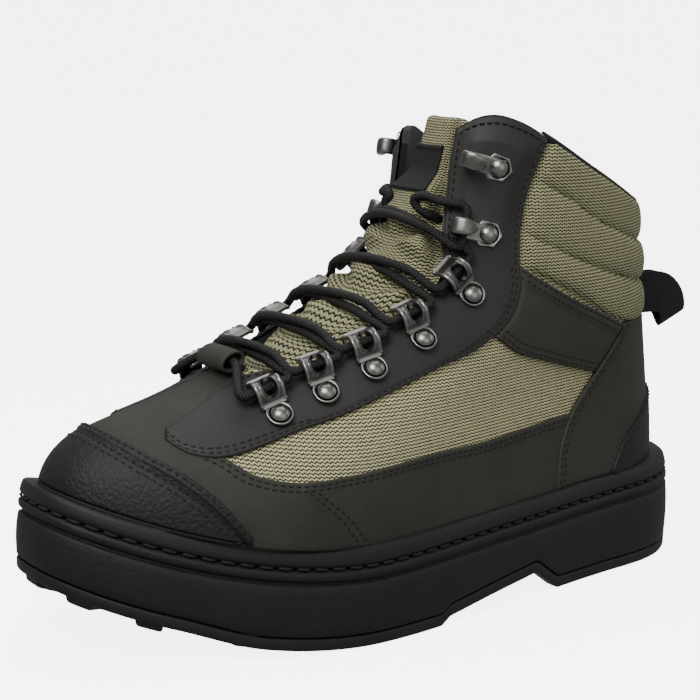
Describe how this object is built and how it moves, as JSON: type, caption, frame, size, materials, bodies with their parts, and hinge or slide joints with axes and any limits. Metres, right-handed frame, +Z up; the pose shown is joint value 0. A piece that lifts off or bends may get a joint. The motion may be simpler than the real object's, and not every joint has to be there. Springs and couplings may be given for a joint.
{
  "type": "wading boot",
  "caption": "Lace-up wading boot for the left foot: lugged rubber outsole, foam midsole, leather and mesh upper, padded collar and tongue, metal lace bridges and hooks, heel pull loop.",
  "frame": {"origin": "on the ground, at the middle of the flat heel lug, 50.4 mm ahead of the sole's back edge and on the sole's middle line", "axes": "+X to the toe, +Y to the outer side of the left foot, +Z up"},
  "size_m": [0.3391, 0.1177, 0.1993],
  "materials": {
    "black_rubber": "matte moulded rubber",
    "midsole_foam": "matte moulded foam",
    "olive_leather": "nubuck, matte",
    "charcoal_leather": "smooth, low gloss",
    "black_leather": "pebbled, low gloss",
    "khaki_mesh": "knitted mesh",
    "black_fabric": "woven, matte",
    "antique_nickel": "darkened nickel, rubbed"
  },
  "bodies": {
    "root": {"outsole": "black_rubber", "midsole": "midsole_foam", "welt": "black_rubber", "insole": "black_fabric", "upper": "olive_leather", "tongue": "khaki_mesh", "tongue_label": "black_fabric", "toe_cap": "black_leather", "heel_panel": "olive_leather", "heel_counter": "black_leather", "eyestay_outer": "charcoal_leather", "eyestay_inner": "charcoal_leather", "ankle_band_outer": "olive_leather", "ankle_band_inner": "olive_leather", "eyelet_outer_1": "antique_nickel", "eyelet_outer_2": "antique_nickel", "eyelet_outer_3": "antique_nickel", "eyelet_outer_4": "antique_nickel", "eyelet_outer_5": "antique_nickel", "eyelet_inner_1": "antique_nickel", "eyelet_inner_2": "antique_nickel", "eyelet_inner_3": "antique_nickel", "eyelet_inner_4": "antique_nickel", "eyelet_inner_5": "antique_nickel", "hook_outer_1": "antique_nickel", "hook_outer_2": "antique_nickel", "hook_inner_1": "antique_nickel", "hook_inner_2": "antique_nickel", "lace_keeper": "olive_leather", "lace_crossing_1": "black_fabric", "lace_crossing_2": "black_fabric", "lace_crossing_3": "black_fabric", "lace_crossing_4": "black_fabric", "lace_crossing_5": "black_fabric", "lace_bar": "black_fabric", "pull_loop": "black_fabric"}
  },
  "joints": []
}
